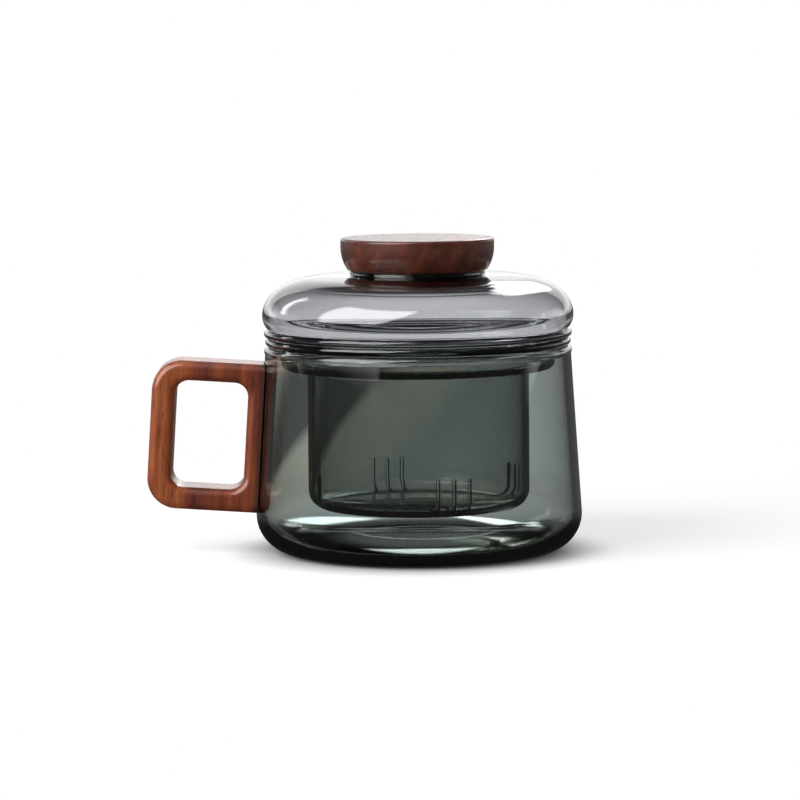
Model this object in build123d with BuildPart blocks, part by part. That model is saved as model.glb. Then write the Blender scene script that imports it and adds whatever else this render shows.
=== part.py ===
"""A lidded tea mug with a hanging infuser, in millimetres.

A blown glass mug with a walnut loop handle, a blown glass infuser that hangs in its mouth by
a rim bead, and a blown glass lid with a walnut knob. The origin is on the mug's axis at the
table, +Z is up and the handle points to -X.
"""

import os
from math import cos, radians, sin, tan

from build123d import *

# ---------------------------------------------------------------- fits
seat_gap = 0.2  # between a bead and the rim or bead that it rests on
bond_gap = 0.3  # thickness of the adhesive between wood and glass
skirt_gap = 0.6  # between the lid's skirt and the infuser's collar
collar_gap = 2.1  # between the infuser's collar and the mug's rim bead

# ---------------------------------------------------------------- mug
mug_height = 61.9
mug_rim_radius = 45.7  # outside of the wall at the rim
mug_taper = 3.7  # degrees that the wall leans in towards the rim
mug_wall = 2.4
mug_floor = 3.0
mug_corner_radius = 11.4
mug_rim_bead = 3.0  # diameter of the fire-polished rim
rim_blend = 1.2  # eases the rim bead into the wall
foot_radius = 31.0  # inner edge of the flat ring that the mug stands on
foot_blend = 30.0  # radius that eases that edge
punt_rise = 1.8  # how far the underside is pushed up inside that ring
floor_crown = 1.6  # how far the floor swells up over it

# ---------------------------------------------------------------- handle
handle_reach = 33.0  # from the mug's wall
handle_low = 12.4  # up the wall from the table
handle_drop = 4.9  # from the rim down to the handle's top
handle_thickness = 17.4
handle_outer_radius = 9.0
handle_round = 2.3  # rounding of its long edges
near_bar = 4.2  # width of the upright bar on the mug's wall
far_bar = 7.0
lower_bar = 6.7
upper_bar = 5.9
opening_radius = 4.2
handle_root = 6.0  # depth of the blank behind the saddle, before it is cut

# ---------------------------------------------------------------- glass pegs that carry the handle
peg_radius = 1.8
peg_length = 9.0
peg_round = 0.5

# ---------------------------------------------------------------- infuser
infuser_bead = 2.3  # diameter
infuser_bead_blend = 0.8  # eases the bead into the flange
infuser_wall = 1.8
basket_radius = 33.2
basket_depth = 50.0  # from the bead's centre to the underside
basket_corner_radius = 5.5
collar_depth = 8.2  # from the bead's centre to the shoulder's underside
collar_corner_radius = 2.4
shoulder_radius = 1.0
flange_radius = 1.4

slit_width = 0.9
slit_pitch = 4.8
slit_height = 11.5  # up the wall from the underside
slit_inset = 9.0  # into the floor from the wall
slits_in_group = 3
slit_groups = 4
slit_start = -72.0  # degrees from +X to the first group

# ---------------------------------------------------------------- lid
lid_bead = 2.3  # diameter
lid_bead_blend = 0.4  # eases the bead into dome and flange
lid_bead_overhang = 0.35  # how far it stands out past the infuser's bead
lid_wall = 2.0
lid_flange = 1.6  # thickness of the flange that joins dome, bead and skirt
dome_overhang = 0.9  # how far the dome's widest level stands out past the mug's rim
dome_height = 16.8  # from the bead's centre to the flat top
dome_belly_height = 5.4  # from the bead's centre to the widest level
dome_shoulder = 16.1  # from the flat top's edge out to the widest level
dome_tuck = 2.1  # from the widest level in to the waist above the bead
skirt_depth = 6.2  # from the bead's centre
skirt_wall = 1.8
flange_round = 0.7

# ---------------------------------------------------------------- knob
boss_radius = 20.2
boss_height = 1.7
boss_round = 0.4
post_radius = 5.0
post_height = 5.0
post_round = 0.5
knob_radius = 23.0
knob_height = 9.6
knob_straight = 2.6  # height of the upright band at the top of its side
knob_foot_radius = 20.9
knob_top_round = 0.8
knob_foot_round = 0.6
knob_bond_inset = 0.5  # how far the adhesive stays back from the boss's edge

# ---------------------------------------------------------------- levels and circles
lean = radians(mug_taper)
mug_base_radius = mug_rim_radius + mug_height * tan(lean)  # the wall's line at the table
rim_circle = mug_rim_radius + (mug_rim_bead * tan(lean) - mug_wall / cos(lean)) / 2
infuser_seat = mug_height + seat_gap + infuser_bead / 2  # centre of the infuser's bead
lid_seat = infuser_seat + (infuser_bead + lid_bead) / 2 + seat_gap  # centre of the lid's bead
basket_base = infuser_seat - basket_depth
handle_high = mug_height - handle_drop  # up the wall from the table
opening_near = near_bar  # from the mug's wall
opening_far = handle_reach - far_bar
opening_low = handle_low + lower_bar
opening_high = handle_high - upper_bar
collar_radius = rim_circle - mug_rim_bead / 2 - collar_gap
skirt_radius = collar_radius - infuser_wall - skirt_gap
dome_radius = mug_rim_radius + dome_overhang
dome_flat_radius = dome_radius - dome_shoulder
waist_radius = dome_radius - dome_tuck
lid_top = lid_seat + dome_height
boss_top = lid_top + boss_height
knob_base = boss_top + bond_gap

# The handle is drawn square to the leaning wall: x runs out from the wall and y up along it.
handle_plane = Plane(
    origin=(-mug_base_radius, 0, 0), x_dir=(-cos(lean), 0, sin(lean)), z_dir=(0, 1, 0)
)
# One peg at the middle of the handle's upper bar, and one at the middle of its lower bar.
peg_levels = {
    "upper": (handle_high + opening_high) / 2,
    "lower": (handle_low + opening_low) / 2,
}
peg_planes = {
    name: Plane(origin=handle_plane.from_local_coords((0, level, 0)), z_dir=handle_plane.x_dir)
    for name, level in peg_levels.items()
}


def mug_outline(growth):
    """Half of the section that the mug's outside encloses, grown by a thickness."""
    base = mug_base_radius + growth / cos(lean)
    with BuildSketch() as outline:
        with BuildLine():
            Polyline(
                (0, 0),
                (base, 0),
                (base - mug_height * tan(lean), mug_height),
                (0, mug_height),
                close=True,
            )
        make_face()
        corner = outline.vertices().sort_by_distance((base, 0))[0]
        fillet(corner, mug_corner_radius + growth)
    return outline.sketch


def mug_envelope(growth):
    """The solid that the mug's outside encloses, grown by a thickness."""
    section = mug_outline(growth)
    with BuildPart() as envelope:
        with BuildSketch(Plane.XZ):
            add(section)
        revolve(axis=Axis.Z)
    return envelope.part


mug_outside = mug_envelope(0)
glued_outside = mug_envelope(bond_gap)

# ================================================================ mug body
mug_section = mug_outline(0)
wall_top = mug_height - mug_rim_bead / 2
cavity_radius = mug_base_radius - mug_wall / cos(lean)  # the wall's inside line at the table
cavity_corner = (cavity_radius - mug_floor * tan(lean), mug_floor)

with BuildSketch() as mug_cavity:
    with BuildLine():
        swell = TangentArc(
            (0, mug_floor + floor_crown), (foot_radius, mug_floor), tangent=(1, 0)
        )
        Polyline(
            swell @ 1,
            cavity_corner,
            (cavity_radius - mug_height * tan(lean), mug_height),
            (0, mug_height),
            swell @ 0,
        )
    make_face()
    fillet(vertices().sort_by_distance(cavity_corner)[0], mug_corner_radius - mug_wall)
    fillet(vertices().sort_by_distance(swell @ 1)[0], foot_blend)

with BuildPart() as mug_body:
    with BuildSketch(Plane.XZ):
        add(mug_section)
        with BuildLine():
            underside = TangentArc((0, punt_rise), (foot_radius, 0), tangent=(1, 0))
            Polyline(underside @ 1, (0, 0), underside @ 0)
        make_face(mode=Mode.SUBTRACT)
        fillet(vertices().sort_by_distance(underside @ 1)[0], foot_blend)
        add(mug_cavity.sketch, mode=Mode.SUBTRACT)
        with Locations((0, wall_top)):
            Rectangle(
                mug_base_radius, mug_rim_bead, align=(Align.MIN, Align.MIN), mode=Mode.SUBTRACT
            )
        with Locations((rim_circle, wall_top)):
            Circle(mug_rim_bead / 2)
        for side in (-1, 1):
            neck = (rim_circle + side * mug_wall / 2, wall_top - mug_rim_bead / 2)
            fillet(vertices().sort_by_distance(neck)[0], rim_blend)
    revolve(axis=Axis.Z)

mug_body.part.label = "mug_body"

# ================================================================ handle pegs
pegs = {}
for name, plane in peg_planes.items():
    with BuildPart() as peg:
        with BuildSketch(plane.offset(-mug_wall / 2)):
            Circle(peg_radius)
        extrude(amount=mug_wall / 2 + peg_length)
        fillet(faces().sort_by(Axis(plane.origin, plane.z_dir))[-1].edges(), peg_round)
        add(mug_outside, mode=Mode.SUBTRACT)
    peg.part.label = f"handle_peg_{name}"
    pegs[name] = peg.part

# ================================================================ handle
with BuildPart() as handle:
    with BuildSketch(handle_plane):
        with Locations(((handle_reach - handle_root) / 2, (handle_low + handle_high) / 2)):
            Rectangle(handle_reach + handle_root, handle_high - handle_low)
        fillet(vertices().group_by(Axis.X)[-1], handle_outer_radius)
        with Locations(
            ((opening_near + opening_far) / 2, (opening_low + opening_high) / 2)
        ):
            RectangleRounded(
                opening_far - opening_near,
                opening_high - opening_low,
                opening_radius,
                mode=Mode.SUBTRACT,
            )
    extrude(amount=handle_thickness / 2, both=True)
    fillet(faces().filter_by(Axis.Y).edges(), handle_round)
    add(glued_outside, mode=Mode.SUBTRACT)
    with BuildSketch(*peg_planes.values()):
        Circle(peg_radius + bond_gap)
    extrude(amount=peg_length + bond_gap, mode=Mode.SUBTRACT)

handle.part.label = "handle"

# ================================================================ handle adhesive
# A film in the saddle, with a sleeve round each peg.
with BuildPart() as handle_adhesive:
    with BuildSketch(handle_plane):
        with Locations((0, (handle_low + handle_high) / 2)):
            Rectangle(handle_root, handle_high - handle_low - 2 * handle_round)
    extrude(amount=handle_thickness / 2 - handle_round, both=True)
    add(glued_outside, mode=Mode.INTERSECT)
    with BuildSketch(*peg_planes.values()):
        Circle(peg_radius + bond_gap)
    extrude(amount=peg_length + bond_gap)
    add(mug_outside, mode=Mode.SUBTRACT)
    add(pegs.values(), mode=Mode.SUBTRACT)

handle_adhesive.part.label = "handle_adhesive"

# ================================================================ infuser
# The wall's outside is one line from the middle of the floor to the bead, and the wall is that
# line thickened inwards.
flange_base = infuser_seat - infuser_wall / 2

with BuildPart() as infuser:
    with BuildSketch(Plane.XZ):
        with BuildLine():
            FilletPolyline(
                (0, basket_base),
                (basket_radius, basket_base),
                (basket_radius, infuser_seat - collar_depth),
                (collar_radius, infuser_seat - collar_depth),
                (collar_radius, flange_base),
                (rim_circle, flange_base),
                radius=(basket_corner_radius, shoulder_radius, collar_corner_radius, flange_radius),
            )
            offset(amount=infuser_wall, side=Side.LEFT)
        make_face()
        with Locations((rim_circle, infuser_seat)):
            Circle(infuser_bead / 2)
        for side in (-1, 1):
            neck = (rim_circle - infuser_bead / 2, infuser_seat + side * infuser_wall / 2)
            fillet(vertices().sort_by_distance(neck)[0], infuser_bead_blend)
    revolve(axis=Axis.Z)
    # Saw cuts across the corner of the floor, in groups of parallel slits.
    with BuildSketch(Plane.XY.offset(basket_base)):
        with PolarLocations(basket_radius, slit_groups, start_angle=slit_start):
            with GridLocations(slit_pitch, slit_pitch, 1, slits_in_group):
                Rectangle(2 * slit_inset, slit_width)
    extrude(amount=slit_height, mode=Mode.SUBTRACT)

infuser.part.label = "infuser"

# ================================================================ lid dome
belly = lid_seat + dome_belly_height
flange_top = lid_seat + lid_flange / 2
flange_underside = lid_seat - lid_flange / 2
skirt_inside = skirt_radius - skirt_wall
skirt_tip = lid_seat - skirt_depth + skirt_wall / 2
lid_bead_circle = rim_circle + lid_bead_overhang

with BuildPart() as lid_dome:
    with BuildSketch(Plane.XZ):
        with BuildLine():
            outside = EllipticalCenterArc(
                (dome_flat_radius, belly),
                dome_radius - dome_flat_radius,
                lid_top - belly,
                start_angle=90,
                arc_size=-90,
            )
            tuck = TangentArc(
                outside @ 1, (waist_radius, lid_seat + lid_flange / 2), tangent=(0, -1)
            )
            inside = EllipticalCenterArc(
                (dome_flat_radius, belly),
                dome_radius - dome_flat_radius - lid_wall,
                lid_top - belly - lid_wall,
                start_angle=90,
                arc_size=-90,
            )
            inner_tuck = TangentArc(
                inside @ 1, (waist_radius - lid_wall, flange_top), tangent=(0, -1)
            )
            Polyline(
                tuck @ 1,
                (waist_radius, flange_underside),
                (skirt_radius, flange_underside),
                (skirt_radius, skirt_tip),
                (skirt_inside, skirt_tip),
                (skirt_inside, flange_top),
                inner_tuck @ 1,
            )
            Polyline(inside @ 0, (0, lid_top - lid_wall), (0, lid_top), outside @ 0)
        make_face()
        for corner in (
            (skirt_radius, flange_underside),
            (skirt_inside, flange_top),
            (waist_radius - lid_wall, flange_top),
        ):
            fillet(vertices().sort_by_distance(corner)[0], flange_round)
        with Locations((lid_bead_circle, lid_seat)):
            Circle(lid_bead / 2)
        for neck in (
            (lid_bead_circle - lid_bead / 2, flange_underside),
            (waist_radius, lid_seat + lid_bead / 2),
        ):
            fillet(vertices().sort_by_distance(neck)[0], lid_bead_blend)
        with Locations((skirt_radius - skirt_wall / 2, skirt_tip)):
            Circle(skirt_wall / 2)
    revolve(axis=Axis.Z)

lid_dome.part.label = "lid_dome"

# ================================================================ lid boss
# A low disc of glass fused on the flat of the dome, with the post that carries the knob.
with BuildPart() as lid_boss:
    with BuildSketch(Plane.XY.offset(lid_top)):
        Circle(boss_radius)
    extrude(amount=boss_height)
    fillet(edges().group_by(Axis.Z)[-1], boss_round)
    with BuildSketch(Plane.XY.offset(boss_top)):
        Circle(post_radius)
    extrude(amount=post_height)
    fillet(edges().group_by(Axis.Z)[-1], post_round)

lid_boss.part.label = "lid_boss"

# ================================================================ lid knob
knob_top = knob_base + knob_height

with BuildPart() as lid_knob:
    with BuildSketch(Plane.XZ):
        with BuildLine():
            side = Line((knob_radius, knob_top), (knob_radius, knob_top - knob_straight))
            swept_in = TangentArc(side @ 1, (knob_foot_radius, knob_base), tangent=(0, -1))
            Polyline(swept_in @ 1, (0, knob_base), (0, knob_top), side @ 0)
        make_face()
        fillet(vertices().sort_by_distance(side @ 0)[0], knob_top_round)
        fillet(vertices().sort_by_distance(swept_in @ 1)[0], knob_foot_round)
    revolve(axis=Axis.Z)
    with BuildSketch(Plane.XY.offset(knob_base)):
        Circle(post_radius + bond_gap)
    extrude(amount=post_height, mode=Mode.SUBTRACT)

lid_knob.part.label = "lid_knob"

# ================================================================ knob adhesive
# A film between boss and knob, with a sleeve round the post and a cap over it.
with BuildPart() as knob_adhesive:
    with BuildSketch(Plane.XY.offset(boss_top)):
        Circle(boss_radius - knob_bond_inset)
    extrude(amount=bond_gap)
    with BuildSketch(Plane.XY.offset(boss_top)):
        Circle(post_radius + bond_gap)
    extrude(amount=bond_gap + post_height)
    add(lid_boss.part, mode=Mode.SUBTRACT)

knob_adhesive.part.label = "knob_adhesive"

# ================================================================ export
os.makedirs("parts", exist_ok=True)
export_step(mug_body.part, "parts/mug_body.step")
export_step(pegs["upper"], "parts/handle_peg_upper.step")
export_step(pegs["lower"], "parts/handle_peg_lower.step")
export_step(handle.part, "parts/handle.step")
export_step(handle_adhesive.part, "parts/handle_adhesive.step")
export_step(infuser.part, "parts/infuser.step")
export_step(lid_dome.part, "parts/lid_dome.step")
export_step(lid_boss.part, "parts/lid_boss.step")
export_step(lid_knob.part, "parts/lid_knob.step")
export_step(knob_adhesive.part, "parts/knob_adhesive.step")
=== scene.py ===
"""Looks of the lidded tea mug with infuser: smoky blown glass and walnut, on a pale floor.

Lengths are in metres unless a comment says millimetres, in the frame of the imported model:
+Z up, the handle towards -X and the front view towards -Y.
"""

import math

import bmesh
import bpy
from mathutils import Matrix, Vector


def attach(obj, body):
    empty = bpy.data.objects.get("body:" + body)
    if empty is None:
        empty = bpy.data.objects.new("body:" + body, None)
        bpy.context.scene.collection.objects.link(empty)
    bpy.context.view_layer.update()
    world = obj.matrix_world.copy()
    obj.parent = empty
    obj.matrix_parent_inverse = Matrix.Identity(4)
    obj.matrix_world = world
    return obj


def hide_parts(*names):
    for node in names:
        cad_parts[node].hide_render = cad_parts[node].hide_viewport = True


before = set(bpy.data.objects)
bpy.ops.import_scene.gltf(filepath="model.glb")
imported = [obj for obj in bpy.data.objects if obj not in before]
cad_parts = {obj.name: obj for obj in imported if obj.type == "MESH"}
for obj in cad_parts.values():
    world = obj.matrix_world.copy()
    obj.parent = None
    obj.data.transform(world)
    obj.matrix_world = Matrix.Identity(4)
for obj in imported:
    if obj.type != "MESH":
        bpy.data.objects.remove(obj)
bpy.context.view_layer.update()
scene = bpy.context.scene
mm = 0.001
white = (1, 1, 1, 1)
full_white = 1.0  # the radiance that the camera shows as pure white

# ---------------------------------------------------------------- camera
camera_place = Vector((-5.52, -1185.8, 161.3)) * mm
camera_dip = math.radians(5.585)  # how far it looks down
camera_roll = math.radians(-0.45)
camera_lens = 178.65
camera_sensor = 36  # its width, in the lens's own millimetres
camera_reach = 50


def add_camera():
    """The photograph's view: from the front and a little from above, through a long lens."""
    camera = bpy.data.objects.new("camera", bpy.data.cameras.new("camera"))
    camera.data.sensor_width = camera_sensor
    camera.data.lens = camera_lens
    camera.data.clip_end = camera_reach
    tilt = Matrix.Rotation(math.pi / 2 - camera_dip, 4, "X")
    roll = Matrix.Rotation(camera_roll, 4, "Z")
    camera.matrix_world = Matrix.Translation(camera_place) @ tilt @ roll
    scene.collection.objects.link(camera)
    scene.camera = camera


# ---------------------------------------------------------------- node helpers
class Nodes:
    """A short way to write a node tree: make() adds a node, sets its inputs and returns it."""

    def __init__(self, owner):
        owner.use_nodes = True
        self.tree = owner.node_tree
        self.tree.nodes.clear()

    def make(self, kind, inputs=None, **settings):
        node = self.tree.nodes.new(kind)
        for name, value in settings.items():
            setattr(node, name, value)
        for name, value in (inputs or {}).items():
            socket = node.inputs[name]
            if isinstance(value, bpy.types.NodeSocket):
                self.tree.links.new(value, socket)
            else:
                socket.default_value = value
        return node

    def math(self, operation, *values):
        inputs = dict(enumerate(values))
        return self.make("ShaderNodeMath", inputs, operation=operation).outputs[0]

    def vector(self, operation, *values):
        """The outputs of a vector sum: Vector and Value."""
        inputs = dict(enumerate(values))
        return self.make("ShaderNodeVectorMath", inputs, operation=operation).outputs

    def axes(self, vector):
        """A vector's X, Y and Z."""
        return self.make("ShaderNodeSeparateXYZ", {"Vector": vector}).outputs

    def counted(self, depth):
        """1 where a depth of the light path is at least 1, else 0."""
        return self.math("GREATER_THAN", depth, 0.5)

    def mix(self, share, first, second):
        """The first value where the share is 0, the second where it is 1."""
        inputs = {0: share, 2: first, 3: second}
        return self.make("ShaderNodeMix", inputs, data_type="FLOAT").outputs[0]

    def mix_colours(self, share, first, second):
        """The first colour where the share is 0, the second where it is 1."""
        inputs = {0: share, 6: first, 7: second}
        return self.make("ShaderNodeMix", inputs, data_type="RGBA").outputs[2]

    def soft_step(self, value, start, stop):
        """0 before start, 1 after stop, smooth between."""
        inputs = {"Value": value, "From Min": start, "From Max": stop}
        node = self.make("ShaderNodeMapRange", inputs, interpolation_type="SMOOTHSTEP")
        return node.outputs["Result"]

    def ramp(self, value, stops):
        """A colour ramp with the given (position, colour) stops."""
        node = self.make("ShaderNodeValToRGB", {"Fac": value})
        elements = node.color_ramp.elements
        while len(elements) < len(stops):
            elements.new(0.5)
        for element, (position, colour) in zip(elements, stops):
            element.position = position
            element.color = (*colour, 1)
        return node.outputs["Color"]


# ---------------------------------------------------------------- studio
# The lamps that light the wood and the floor:
# name, azimuth, elevation, distance, width, height, radiance
softboxes = (
    ("window", -50, 31, 1.0, 0.80, 0.95, 4.2),
    ("back", 164, 25, 1.1, 0.42, 0.38, 3.5),
)
lamp_aim = Vector((0, 0, 50 * mm))
# The same studio as reflections see it. Azimuth 0 is towards the camera and 90 towards +X;
# a panel's middle shifts and its half width spreads by so much for each degree upwards.
ceiling = dict(middle=0, half=400, low=62, high=200, soft=8.0, radiance=0.9)
backdrop = dict(middle=180, half=42, spread=-0.7, low=5, high=30, soft=3.0, radiance=1.4)
panels = (
    dict(middle=-54.5, half=23.5, shift=0.2, spread=0.34, low=3, high=58, radiance=8.2),
    dict(middle=-115, half=3, shift=-0.61, low=10, high=40, soft=1.2, radiance=6.0),
    dict(middle=180, half=50, low=-6, high=5.5, soft=1.5, radiance=1.0),
    dict(middle=180.8, half=7, shift=-0.6, low=17, high=46, radiance=11.0),
    dict(middle=112, half=22, low=-6, high=12, soft=6.0, radiance=1.3),
    dict(middle=-123, half=24, low=-6, high=12, soft=6.0, radiance=1.0),
)
# The room's own radiance: for reflections, inside the glass and for matt surfaces.
room_light = 0.14
inner_light = 0.05
ambient_light = 0.26


def panel_light(
    n, azimuth, elevation, middle, half, low, high, radiance, shift=0.0, spread=0.0, soft=2.0
):
    """What one soft-edged panel of the studio adds in a direction, all angles in degrees."""
    middle = n.math("MULTIPLY_ADD", elevation, shift, middle)
    half = n.math("MULTIPLY_ADD", elevation, spread, half)
    off = n.math("WRAP", n.math("SUBTRACT", azimuth, middle), 180.0, -180.0)
    inside = n.math("SUBTRACT", half, n.math("ABSOLUTE", off))
    light = n.math("MULTIPLY", n.soft_step(inside, -soft, soft), radiance)
    light = n.math("MULTIPLY", light, n.soft_step(elevation, low - soft, low + soft))
    below_top = n.math("SUBTRACT", high, elevation)
    return n.math("MULTIPLY", light, n.soft_step(below_top, -soft, soft))


def add_world():
    """White behind everything that the camera sees, also through glass.

    Reflections see the studio: a dim room, a pale backdrop low behind the mug, and the soft
    panels. Light that the glass turns back inside itself sees a darker room with no ceiling
    and no backdrop, which keeps beads and rims crisp. Matt surfaces get plain even light.
    """
    world = bpy.data.worlds.new("studio")
    scene.world = world
    n = Nodes(world)
    path = n.make("ShaderNodeLightPath").outputs
    mirrored = n.counted(path["Glossy Depth"])
    matt = n.counted(path["Diffuse Depth"])
    inside = n.counted(path["Transmission Depth"])
    axes = n.axes(n.make("ShaderNodeTexCoord").outputs["Generated"])
    front = n.math("MULTIPLY", axes["Y"], -1.0)
    azimuth = n.math("DEGREES", n.math("ARCTAN2", axes["X"], front))
    elevation = n.math("DEGREES", n.math("ARCSINE", axes["Z"]))
    room = n.math("ADD", panel_light(n, azimuth, elevation, **ceiling), room_light)
    room = n.math("ADD", panel_light(n, azimuth, elevation, **backdrop), room)
    studio = n.mix(inside, room, inner_light)
    for panel in panels:
        studio = n.math("ADD", panel_light(n, azimuth, elevation, **panel), studio)
    seen = n.mix(mirrored, full_white, studio)
    strength = n.mix(matt, seen, ambient_light)
    light = n.make("ShaderNodeBackground", {"Color": white, "Strength": strength})
    n.make("ShaderNodeOutputWorld", {"Surface": light.outputs[0]})


def add_softbox(name, azimuth, elevation, distance, width, height, radiance):
    """An area light aimed at the mug. Azimuth 0 is towards the camera and 90 towards +X."""
    light = bpy.data.lights.new(name, "AREA")
    light.shape = "RECTANGLE"
    light.size, light.size_y = width, height
    light.energy = radiance * width * height * math.pi
    a, e = math.radians(azimuth), math.radians(elevation)
    towards = Vector((math.sin(a) * math.cos(e), -math.cos(a) * math.cos(e), math.sin(e)))
    lamp = bpy.data.objects.new(name, light)
    lamp.location = lamp_aim + towards * distance
    lamp.rotation_euler = towards.to_track_quat("Z", "Y").to_euler()
    lamp.visible_camera = False
    lamp.visible_glossy = False
    lamp.visible_transmission = False
    scene.collection.objects.link(lamp)


# ---------------------------------------------------------------- floor
floor_size = 12.0
floor_gap = 0.1 * mm
floor_tone = 0.6
floor_glow = 0.62
paper_edge = (0.11, 0.26)  # between these distances the lit paper turns into plain white
# Painted shadow under the mug: how much of the paper's glow shows through the glass, by the
# distance from the axis: all of it under the middle of the punt, and none where the mug stands on
# it.
painted_shadow_under_mug = ((0.0, 1.0), (0.018, 0.9), (0.033, 0.0), (0.047, 0.1), (0.062, 1.0), (0.08, 1.0))
# painted shade near the mug: seen straight, the paper's glow is held back up to the first distance
contact_shadow = (0.036, 0.062)  # seen past the glass, the glow comes back between these
# Painted shade of a window on the paper: how steeply its bands slant, their tones up to the
# reach, and where it ends behind the mug and to its sides.
band_slant = 6.2
band_reach = 0.8
band_tones = (
    (0.06, (0.88, 0.95, 1.0)),
    (0.35, (0.70, 0.82, 0.90)),
    (0.50, (1.0, 0.99, 0.94)),
    (0.84, (1.0, 0.99, 0.93)),
    (0.96, (0.23, 0.24, 0.25)),
)
band_end = (0.60, 0.72)
band_side = (0.1, 0.2)
# Painted light: arcs of light on the paper where the glass would gather light, in millimetres
# and degrees. Half is half the width in the arc's middle, which lies at the bearing, 0 to the
# back and 90 towards +X, and the arc reaches so far to each side of it.
glints = (
    dict(centre=(-14, 6), radius=48.3, half=9.5, bearing=-24, reach=32, glow=5.0),
    dict(centre=(-33, 3), radius=72.0, half=5.0, bearing=58, reach=34, glow=5.0),
    dict(centre=(2, 14), radius=22.0, half=1.2, bearing=0, reach=400, glow=2.0),
    dict(centre=(0, 0), radius=31.0, half=4.0, bearing=178, reach=42, glow=5.5),
)
glint_edge = (-0.3, 0.5)  # its light fades between these shares of half its width
glint_tip = 0.3  # the share of the taper over which its ends fade
# Painted reflection: the radiance of the paper where reflections see it, with painted shade next
# to the mug: the least, next to the mug, how much it gains further away, and between which
# distances.
table_near = 0.02
table_light = 0.10
table_edge = (0.060, 0.125)


def glint(n, place, centre, radius, half, bearing, reach, glow):
    """A painted arc of light on the paper, where the glass would throw one, thick in its middle,
    thin at its ends.
    """
    off = n.vector("SUBTRACT", place, (centre[0] * mm, centre[1] * mm, 0))["Vector"]
    axes = n.axes(off)
    away = n.vector("LENGTH", off)["Value"]
    turned = n.math("DEGREES", n.math("ARCTAN2", axes["X"], axes["Y"]))
    turned = n.math("SUBTRACT", turned, bearing)
    turned = n.math("ABSOLUTE", n.math("WRAP", turned, 180.0, -180.0))
    taper = n.math("SUBTRACT", 1.0, n.soft_step(turned, 0.0, reach))
    off_line = n.math("ABSOLUTE", n.math("SUBTRACT", away, radius * mm))
    inside = n.math("SUBTRACT", n.math("MULTIPLY", taper, half * mm), off_line)
    edge = [share * half * mm for share in glint_edge]
    light = n.math("MULTIPLY", n.soft_step(inside, *edge), glow)
    return n.math("MULTIPLY", light, n.soft_step(taper, 0.0, glint_tip))


def window_shade(n, place):
    """Painted shade: soft slanting bands on the paper behind the mug, as a window's frame leaves
    them.

    Behind them and to their sides the paper is plain white again.
    """
    axes = n.axes(place)
    across = n.math("MULTIPLY_ADD", axes["X"], -band_slant, axes["Y"])
    tone = n.ramp(n.math("DIVIDE", across, band_reach), band_tones)
    aside = n.soft_step(n.math("ABSOLUTE", axes["X"]), *band_side)
    plain = n.math("MAXIMUM", n.soft_step(axes["Y"], *band_end), aside)
    return n.mix_colours(plain, tone, white)


def glow_through_glass(n, away):
    """The share of the paper's glow that shows through the glass, as painted_shadow_under_mug gives it."""
    reach = painted_shadow_under_mug[-1][0]
    curve = n.make("ShaderNodeFloatCurve", {"Value": n.math("DIVIDE", away, reach)})
    points = curve.mapping.curves[0].points
    for _ in painted_shadow_under_mug[2:]:
        points.new(0.5, 0.5)
    for point, (radius, share) in zip(points, painted_shadow_under_mug):
        point.location = (radius / reach, share)
    curve.mapping.update()
    return curve.outputs[0]


def add_floor():
    """Pale paper: lit with a soft shadow near the mug, plain white further away.

    Near the mug its glow is held back, painted shade around the cast shadow. Reflections see a
    painted dark reflection of it, darkest near the mug. Only the glass shows a window's painted
    shade on it, and painted arcs of light where the glass would gather light.
    """
    bpy.ops.mesh.primitive_plane_add(size=floor_size, location=(0, 0, -floor_gap))
    floor = bpy.context.object
    floor.name = "floor"
    material = bpy.data.materials.new("floor")
    n = Nodes(material)
    path = n.make("ShaderNodeLightPath").outputs
    mirrored = n.counted(path["Glossy Depth"])
    through = n.counted(path["Transmission Depth"])
    bounced = n.counted(n.math("ADD", path["Glossy Depth"], path["Diffuse Depth"]))
    direct = n.math("SUBTRACT", 1.0, bounced)
    place = n.make("ShaderNodeTexCoord").outputs["Object"]
    away = n.vector("LENGTH", place)["Value"]

    # painted light: the arcs of light are added to the paper's glow, seen only through the glass
    painted_glints = 0.0
    for arc_of_light in glints:
        painted_glints = n.math("ADD", painted_glints, glint(n, place, **arc_of_light))
    # painted shade: near the mug the paper's glow is held back
    beside = n.soft_step(away, *contact_shadow)
    lift = n.math("MULTIPLY", n.mix(through, beside, glow_through_glass(n, away)), floor_glow)
    lift = n.math("MULTIPLY_ADD", painted_glints, through, lift)
    lift = n.math("MULTIPLY", lift, direct)
    # painted shade of a window, seen only through the glass
    shade = n.mix_colours(through, white, window_shade(n, place))

    paper = n.make("ShaderNodeBsdfDiffuse", {"Color": (floor_tone, floor_tone, floor_tone, 1)})
    glow = n.make("ShaderNodeEmission", {"Color": shade, "Strength": lift})
    near = n.make("ShaderNodeAddShader", {0: paper.outputs[0], 1: glow.outputs[0]})
    plain = n.make("ShaderNodeEmission", {"Color": shade, "Strength": full_white})
    blank = n.math("MULTIPLY", direct, n.soft_step(away, *paper_edge))
    both = n.make("ShaderNodeMixShader", {0: blank, 1: near.outputs[0], 2: plain.outputs[0]})
    # painted reflection of the paper, with painted shade next to the mug
    mirror = n.math("MULTIPLY_ADD", n.soft_step(away, *table_edge), table_light, table_near)
    table = n.make("ShaderNodeEmission", {"Color": white, "Strength": mirror})
    shown = n.make("ShaderNodeMixShader", {0: mirrored, 1: both.outputs[0], 2: table.outputs[0]})
    n.make("ShaderNodeOutputMaterial", {"Surface": shown.outputs[0]})
    floor.data.materials.append(material)


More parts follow.
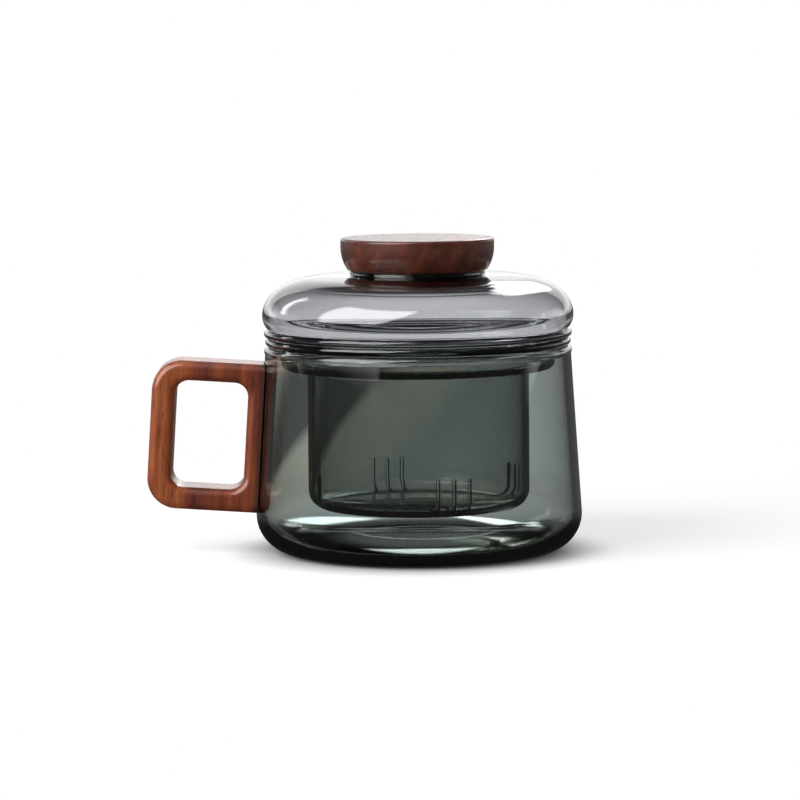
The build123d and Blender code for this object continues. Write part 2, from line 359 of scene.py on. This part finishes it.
# ---------------------------------------------------------------- glass
glass_ior = 1.47
mug_smoke = (0.335, 0.38, 0.33)
mug_density = 350
infuser_density = 430
lid_smoke = (0.30, 0.31, 0.36)
lid_density = 255
wall_wave = {"across": 90, "along": 9, "strength": 0.25, "depth": 0.05 * mm}
lid_wave = {"across": 60, "along": 40, "strength": 0.3, "depth": 0.05 * mm}
# The sawn faces of the infuser's slits: how far they look across the radius at least, and at
# their upper ends, how near they lie to that height and how level they are.
sawn_across = (0.35, 0.6)
slit_top = 24.75 * mm
slit_top_reach = (0.02 * mm, 0.06 * mm)
slit_top_level = (0.7, 0.9)
# painted shade: the sawn faces' dark tint stands in for the shade in the narrow slits; their
# roughness is their own
slit_shade_tint = (0.02, 0.03, 0.027)
ground_rough = 0.5


def streaks(n, place, across, along, detail=2.0, rough=0.5):
    """Noise drawn out along Z: about across and along cells to the metre."""
    drawn = n.make("ShaderNodeMapping", {"Vector": place, "Scale": (across, across, along)})
    inputs = {"Vector": drawn.outputs[0], "Scale": 1.0, "Detail": detail, "Roughness": rough}
    return n.make("ShaderNodeTexNoise", inputs).outputs["Fac"]


def ground_faces(n, place):
    """1 on the faces that the saw left on the infuser, 0 on its blown faces.

    Blown faces look along the radius or up and down, and sawn ones look across the radius or,
    at a slit's upper end, down.
    """
    across = n.vector("CROSS_PRODUCT", place, (0, 0, 1))["Vector"]
    across = n.vector("NORMALIZE", across)["Vector"]
    normal = n.make("ShaderNodeTexCoord").outputs["Normal"]
    share = n.vector("DOT_PRODUCT", across, normal)["Value"]
    sides = n.soft_step(n.math("ABSOLUTE", share), *sawn_across)
    off = n.math("ABSOLUTE", n.math("SUBTRACT", n.axes(place)["Z"], slit_top))
    tops = n.math("SUBTRACT", 1.0, n.soft_step(off, *slit_top_reach))
    level = n.math("ABSOLUTE", n.axes(normal)["Z"])
    tops = n.math("MULTIPLY", tops, n.soft_step(level, *slit_top_level))
    return n.math("MAXIMUM", sides, tops)


def glass(name, smoke, density, wave, sawn=False):
    """Clear blown glass that takes the smoke's colour over the length of the way through it.

    Its faces carry a faint waviness that is drawn out upwards, as hot glass leaves it.
    """
    material = bpy.data.materials.new(name)
    n = Nodes(material)
    place = n.make("ShaderNodeTexCoord").outputs["Object"]
    swell = streaks(n, place, wave["across"], wave["along"])
    relief = {"Height": swell, "Strength": wave["strength"], "Distance": wave["depth"]}
    bump = n.make("ShaderNodeBump", relief)
    body = n.make(
        "ShaderNodeBsdfPrincipled",
        {
            "Base Color": white,
            "Roughness": 0.0,
            "IOR": glass_ior,
            "Transmission Weight": 1.0,
            "Normal": bump.outputs[0],
        },
    )
    if sawn:
        ground = ground_faces(n, place)
        # the sawn faces: their own roughness, and a painted shade tint
        tint = n.mix_colours(ground, white, (*slit_shade_tint, 1))
        n.tree.links.new(tint, body.inputs["Base Color"])
        n.tree.links.new(n.math("MULTIPLY", ground, ground_rough), body.inputs["Roughness"])
    inner = n.make("ShaderNodeVolumeAbsorption", {"Color": (*smoke, 1), "Density": density})
    surface = {"Surface": body.outputs[0], "Volume": inner.outputs[0]}
    n.make("ShaderNodeOutputMaterial", surface)
    return material


# ---------------------------------------------------------------- walnut
wall_lean = math.radians(3.7)
wall_foot = 49.70 * mm  # radius at which the line of the mug's wall meets the table
# The layers of the grain, in cells to the metre, and how much each one adds to the figure.
band_grain = {"across": 240, "along": 14, "detail": 3.0}
fibre_grain = {"across": 1100, "along": 45, "detail": 3.0, "rough": 0.6}
mottle_grain = {"across": 260, "along": 120}
pore_grain = {"across": 2600, "along": 190, "detail": 1.0}
band_share = 0.62
fibre_share = 0.28
mottle_share = 0.22
band_squeeze = (1.0, 0.35, 1.0)  # widens the bands along Y after the turn
figure_range = (0.36, 0.76)  # from the darkest tone to the lightest
pore_range = (0.60, 0.70)  # the noise at which a pore begins, and at which it's full
pore_share = 0.55
pore_tone = (0.02, 0.006, 0.004, 1)
fibre_relief = 0.4
grain_relief = {"Strength": 0.35, "Distance": 0.03 * mm}
rough_swing = (-0.08, 0.12)  # how far the fibres change the polish's roughness
# Painted shade on the wood next to the mug's wall: over which depth it fades out, how strong it is
# and its tone.
wall_shade_depth = (0.4 * mm, 3.0 * mm)
wall_shade_share = 0.85
wall_shade_tone = (0.012, 0.005, 0.004, 1)

handle_tones = (
    (0.0, (0.060, 0.011, 0.006)),
    (0.35, (0.155, 0.030, 0.010)),
    (0.65, (0.245, 0.056, 0.015)),
    (1.0, (0.360, 0.108, 0.030)),
)
knob_tones = (
    (0.0, (0.025, 0.006, 0.004)),
    (0.4, (0.070, 0.017, 0.009)),
    (0.7, (0.126, 0.032, 0.014)),
    (1.0, (0.235, 0.075, 0.034)),
)
oiled = {"rough": 0.45, "gloss": 0.3, "coat": 0.5, "coat_rough": 0.15}
lacquered = {"rough": 0.5, "gloss": 0.25, "coat": 0.5, "coat_rough": 0.14}
# Painted light and shade across the wood, as light falling from one side: where along X the wood
# is of middling tone, and how much each metre towards -X lightens it.
handle_side_light = {"middle": -67 * mm, "gain": 4.0}
knob_side_light = {"middle": 8 * mm, "gain": -4.0}
handle_turn = (0, -wall_lean, 0)
knob_turn = (math.radians(90), 0, math.radians(-30))


def shaded_near_wall(n, place, colour):
    """Darkens a colour within a few millimetres of the mug's wall: painted shade where the wood
    meets the glass.
    """
    axes = n.axes(place)
    flat = n.make("ShaderNodeCombineXYZ", {"X": axes["X"], "Y": axes["Y"]}).outputs[0]
    radius = n.vector("LENGTH", flat)["Value"]
    wall = n.math("MULTIPLY_ADD", axes["Z"], -math.tan(wall_lean), wall_foot)
    depth = n.math("SUBTRACT", radius, wall)
    near_wall = n.math("SUBTRACT", 1.0, n.soft_step(depth, *wall_shade_depth))
    return n.mix_colours(n.math("MULTIPLY", near_wall, wall_shade_share), colour, wall_shade_tone)


def grain(n, place, turn, side_light):
    """The wood's figure from dark to light, its fibres and its pores, along Z after the turn."""
    turned = n.make("ShaderNodeMapping", {"Vector": place, "Rotation": turn}).outputs["Vector"]
    layers = n.make("ShaderNodeMapping", {"Vector": turned, "Scale": band_squeeze})
    bands = streaks(n, layers.outputs[0], **band_grain)
    fibres = streaks(n, turned, **fibre_grain)
    mottle = streaks(n, turned, **mottle_grain)
    pores = n.soft_step(streaks(n, turned, **pore_grain), *pore_range)
    figure = n.math("MULTIPLY", bands, band_share)
    figure = n.math("ADD", figure, n.math("MULTIPLY", fibres, fibre_share))
    figure = n.math("ADD", figure, n.math("MULTIPLY", mottle, mottle_share))
    # painted light: the figure lightens or darkens across X, as light falling from one side
    to_side = n.math("SUBTRACT", side_light["middle"], n.axes(place)["X"])
    figure = n.math("ADD", figure, n.math("MULTIPLY", to_side, side_light["gain"]))
    least, most = figure_range
    spread = {"Value": figure, "From Min": least, "From Max": most}
    return n.make("ShaderNodeMapRange", spread).outputs["Result"], fibres, pores


def walnut(name, turn, tones, polish, side_light, wall_shaded=False):
    """Polished walnut whose grain runs along local Z after the turn.

    Its colour can be darkened near the mug's wall: painted shade where it meets the glass.
    """
    material = bpy.data.materials.new(name)
    n = Nodes(material)
    place = n.make("ShaderNodeTexCoord").outputs["Object"]
    figure, fibres, pores = grain(n, place, turn, side_light)
    colour = n.ramp(figure, tones)
    colour = n.mix_colours(n.math("MULTIPLY", pores, pore_share), colour, pore_tone)
    # painted shade near the mug's wall
    if wall_shaded:
        colour = shaded_near_wall(n, place, colour)
    relief = n.math("SUBTRACT", n.math("MULTIPLY", fibres, fibre_relief), pores)
    bump = n.make("ShaderNodeBump", {"Height": relief, **grain_relief})
    least, most = (polish["rough"] + swing for swing in rough_swing)
    spread = {"Value": fibres, "To Min": least, "To Max": most}
    body = n.make(
        "ShaderNodeBsdfPrincipled",
        {
            "Base Color": colour,
            "Roughness": n.make("ShaderNodeMapRange", spread).outputs["Result"],
            "Specular IOR Level": polish["gloss"],
            "Coat Weight": polish["coat"],
            "Coat Roughness": polish["coat_rough"],
            "Normal": bump.outputs[0],
        },
    )
    n.make("ShaderNodeOutputMaterial", {"Surface": body.outputs[0]})
    return material


# ---------------------------------------------------------------- adhesive and fused pegs
bond_tone = (0.030, 0.011, 0.006)
peg_tone = (0.30, 0.32, 0.30)
film_grain = {"across": 300, "along": 120}
film_patches = (0.35, 0.65)  # the noise at which a patch is darkest, and at which it's plain
film_shade = 0.5  # the darkest patches, as a share of the tone
film_rough = 0.25
touching = 0.02 * mm  # a vertex nearer than this to the mug's wall lies on it
sink = 0.06 * mm  # how far a face on the mug's wall reaches into the glass


def film(name, tone):
    """A smooth glossy layer, a little uneven: cured adhesive, or the pegs' fused glass."""
    material = bpy.data.materials.new(name)
    n = Nodes(material)
    place = n.make("ShaderNodeTexCoord").outputs["Object"]
    patches = streaks(n, place, **film_grain)
    shade = tuple(film_shade * c for c in tone)
    colour = n.ramp(patches, tuple(zip(film_patches, (shade, tone))))
    body = n.make("ShaderNodeBsdfPrincipled", {"Base Color": colour, "Roughness": film_rough})
    n.make("ShaderNodeOutputMaterial", {"Surface": body.outputs[0]})
    return material


def sunk(name, node, material):
    """A copy of a CAD node whose faces on the mug's wall reach a little way into the glass."""
    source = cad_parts[node]
    piece = bpy.data.objects.new(name, source.data.copy())
    piece.matrix_world = source.matrix_world
    piece.data.materials.clear()
    piece.data.materials.append(material)
    scene.collection.objects.link(piece)
    place = source.matrix_world
    back = place.inverted()
    for vertex in piece.data.vertices:
        p = place @ vertex.co
        radius = math.hypot(p.x, p.y)
        wall = wall_foot - p.z * math.tan(wall_lean)
        if abs(radius - wall) * math.cos(wall_lean) < touching:
            level = math.cos(wall_lean) / radius
            out = Vector((p.x * level, p.y * level, math.sin(wall_lean)))
            vertex.co = back @ (p - out * sink)
    return piece


def dress(name, material):
    """Gives a CAD node's object its finish."""
    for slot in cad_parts[name].material_slots:
        slot.material = material


# ---------------------------------------------------------------- the blown lid
# The values of its outline: radii, heights and roundings in millimetres, turns in degrees.
lid = {
    "seat": 65.75,  # height of the middle of the bead and of the flange
    "belly": 71.15,  # height of the widest level
    "top": 83.1,  # height of the crown beside the boss
    "roof": 80.55,  # height of the inner face under the crown
    "flat": 30.5,  # radius up to which that face is flat
    "crown_end": 32.0,
    "crown_lean": 6.0,  # how far the crown has turned down at its end
    "shoulder_turn": 82.2,
    "wide": 46.6,
    "waist": 44.5,  # radius of the outer face at the flange
    "wall": 2.0,
    "low_wall": 1.35,  # the wall at the flange
    "flange": 0.8,  # half its thickness
    "flange_end": 43.9,  # where its lower face comes out of the bead
    "bead": 1.15,
    "bead_circle": 44.94,
    "bead_turn": (100, -128),
    "skirt": 38.59,
    "skirt_in": 36.79,
    "skirt_tip": 60.45,  # height at which its lower edge begins to round
    "boss": 20.2,
    "boss_top": 84.25,
    "post": 5.0,
    "post_top": 89.25,
}
post_round = 0.5
boss_round = 0.4
boss_foot = (0.5, 0.45)  # the hollow between the boss and the crown, out and up
skirt_round = 0.3  # the hollow between the skirt and the flange
skirt_lip = 0.4  # the edge between the skirt's inner face and the flange
roof_round = 0.7  # the hollow between the flange and the inner face of the dome
roof_round_inset = 0.75  # how far its middle lies in from that face's waist
roof_round_turn = (-90, -20)
roof_round_share = 9  # degrees of the inner face's turn that the hollow takes up
wet = 0.05  # how far the glass stands into the adhesive, so that no air shows between them
gap = 0.1  # from the end of one stretch to the next one's first point
bead_clear = 0.12  # how far above the bead the outer face's last point stays
past_belly = 3  # degrees below the widest level at which the inward turns begin
lid_sides = 240
on_axis = 1e-6


def arc(centre, across, up, start, stop, steps=6):
    """Points of an elliptical arc of two half axes, in degrees from the radius axis."""
    points = []
    for i in range(steps + 1):
        a = math.radians(start + (stop - start) * i / steps)
        points.append((centre[0] + across * math.cos(a), centre[1] + up * math.sin(a)))
    return points


def line(a, b, step=1.0):
    """Points from a to b without its end, no more than a step apart."""
    count = max(1, math.ceil(math.dist(a, b) / step))
    return [
        (a[0] + (b[0] - a[0]) * i / count, a[1] + (b[1] - a[1]) * i / count)
        for i in range(count)
    ]


def post_and_boss():
    """From the axis over the post and down the boss to its foot."""
    boss, boss_top = lid["boss"], lid["boss_top"] + wet
    post, post_top = lid["post"] + wet, lid["post_top"] + wet
    points = line((0, post_top), (post - post_round, post_top))
    middle = (post - post_round, post_top - post_round)
    points += arc(middle, post_round, post_round, 90, 0)
    points += line((post, post_top - post_round - gap), (post, boss_top))
    points += line((post, boss_top), (boss - boss_round, boss_top))
    middle = (boss - boss_round, boss_top - boss_round)
    points += arc(middle, boss_round, boss_round, 90, 0)
    return points + arc((boss + boss_foot[0], lid["top"] + boss_foot[1]), *boss_foot, 180, 270)


def crown_and_shoulder():
    """From the boss's foot to the widest level: a faint crown and a quarter of an ellipse.

    The ellipse goes on from the crown at its lean.
    """
    start = lid["boss"] + boss_foot[0] + gap
    crown = (lid["crown_end"] - start) / math.sin(math.radians(lid["crown_lean"]))
    middle = (start, lid["top"] - crown)
    points = arc(middle, crown, crown, 90, 90 - lid["crown_lean"], steps=12)
    turn = math.radians(lid["shoulder_turn"])
    across = (lid["wide"] - lid["crown_end"]) / (1 - math.cos(turn))
    up = (points[-1][1] - lid["belly"]) / math.sin(turn)
    middle = (lid["wide"] - across, lid["belly"])
    return points + arc(middle, across, up, lid["shoulder_turn"] - 1, 0, steps=48)


def tuck(wide, waist):
    """The circle that goes down and in from the widest level to the flange.

    Gives its radius and the angle at which it meets the flange.
    """
    drop = lid["belly"] - (lid["seat"] + lid["flange"])
    radius = ((wide - waist) ** 2 + drop**2) / (2 * (wide - waist))
    return radius, -math.degrees(math.asin(drop / radius))


def outer_tuck():
    """From the widest level down and in to the bead."""
    radius, end = tuck(lid["wide"], lid["waist"])
    middle = (lid["wide"] - radius, lid["belly"])
    points = arc(middle, radius, radius, -past_belly, end, steps=14)
    lowest = lid["seat"] + lid["bead"] + bead_clear
    return [point for point in points if point[1] > lowest]


def bead_and_skirt():
    """Round the bead, down the skirt and up inside it to the flange's upper face."""
    over, under = lid["seat"] + lid["flange"], lid["seat"] - lid["flange"]
    skirt, inner, tip = lid["skirt"], lid["skirt_in"], lid["skirt_tip"]
    bead, middle = lid["bead"], (lid["bead_circle"], lid["seat"])
    points = arc(middle, bead, bead, *lid["bead_turn"], steps=28)
    points += line((lid["flange_end"], under), (skirt + skirt_round, under))
    middle = (skirt + skirt_round, under - skirt_round)
    points += arc(middle, skirt_round, skirt_round, 90, 180)
    points += line((skirt, under - skirt_round - gap), (skirt, tip))
    half = (skirt - inner) / 2
    points += arc((inner + half, tip), half, half, 0, -180, steps=16)
    points += line((inner, tip + gap), (inner, over - skirt_lip - gap))
    return points + arc((inner + skirt_lip, over - skirt_lip), skirt_lip, skirt_lip, 180, 90)


def inside_face():
    """From the skirt along the flange, up the inside of the dome and in to the axis."""
    over, belly, roof = lid["seat"] + lid["flange"], lid["belly"], lid["roof"]
    wide, waist = lid["wide"] - lid["wall"], lid["waist"] - lid["low_wall"]
    points = line((lid["skirt_in"] + skirt_lip + gap, over), (waist - roof_round - gap, over))
    middle = (waist - roof_round_inset, over + roof_round)
    points += arc(middle, roof_round, roof_round, *roof_round_turn, steps=5)
    radius, end = tuck(wide, waist)
    middle = (wide - radius, belly)
    points += arc(middle, radius, radius, end + roof_round_share, -past_belly, steps=12)
    points += arc((lid["flat"], belly), wide - lid["flat"], roof - belly, 0, 90, steps=48)
    points += line((lid["flat"] - 2 * gap, roof), (0, roof))
    return points + [(0, roof)]


def lathe(name, outline, sides):
    """Turns an outline into a closed, smooth mesh. It starts and ends on the axis."""
    mesh = bpy.data.meshes.new(name)
    body = bmesh.new()
    rings = []
    for radius, height in outline:
        if radius < on_axis:
            rings.append([body.verts.new((0, 0, height * mm))])
            continue
        ring = []
        for i in range(sides):
            a = 2 * math.pi * i / sides
            r = radius * mm
            ring.append(body.verts.new((r * math.cos(a), r * math.sin(a), height * mm)))
        rings.append(ring)
    for upper, lower in zip(rings, rings[1:]):
        for i in range(sides):
            j = (i + 1) % sides
            corners = [
                upper[i % len(upper)],
                lower[i % len(lower)],
                lower[j % len(lower)],
                upper[j % len(upper)],
            ]
            corners = list(dict.fromkeys(corners))
            if len(corners) > 2:
                body.faces.new(corners)
    bmesh.ops.recalc_face_normals(body, faces=body.faces)
    for face in body.faces:
        face.smooth = True
    body.to_mesh(mesh)
    body.free()
    piece = bpy.data.objects.new(name, mesh)
    scene.collection.objects.link(piece)
    return piece


# ---------------------------------------------------------------- the scene
add_camera()
add_world()
add_floor()
for softbox in softboxes:
    add_softbox(*softbox)

mug_glass = glass("mug_glass", mug_smoke, mug_density, wall_wave)
infuser_glass = glass("infuser_glass", mug_smoke, infuser_density, wall_wave, sawn=True)
lid_glass = glass("lid_glass", lid_smoke, lid_density, lid_wave)
handle_wood = walnut(
    "handle_walnut", handle_turn, handle_tones, oiled, handle_side_light, wall_shaded=True
)
knob_wood = walnut("knob_walnut", knob_turn, knob_tones, lacquered, knob_side_light)
bond = film("bond", bond_tone)
pale = film("peg_glass", peg_tone)

dress("mug_body", mug_glass)
dress("infuser", infuser_glass)
dress("handle", handle_wood)
dress("lid_knob", knob_wood)
dress("knob_adhesive", bond)

lid_outline = post_and_boss() + crown_and_shoulder() + outer_tuck()
lid_outline += bead_and_skirt() + inside_face()
blown_lid = lathe("blown_lid", lid_outline, lid_sides)
blown_lid.data.materials.append(lid_glass)
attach(blown_lid, "lid")
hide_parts("lid_dome", "lid_boss")

saddle_bond = sunk("saddle_bond", "handle_adhesive", bond)
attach(saddle_bond, "mug")
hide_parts("handle_adhesive")

for level in ("upper", "lower"):
    peg = sunk("fused_peg_" + level, "handle_peg_" + level, pale)
    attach(peg, "mug")
    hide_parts("handle_peg_" + level)

scene.view_settings.view_transform = "Standard"
# Light goes through many glass walls before it gets out again.
scene.cycles.max_bounces = 32
scene.cycles.transmission_bounces = 32
scene.cycles.glossy_bounces = 16
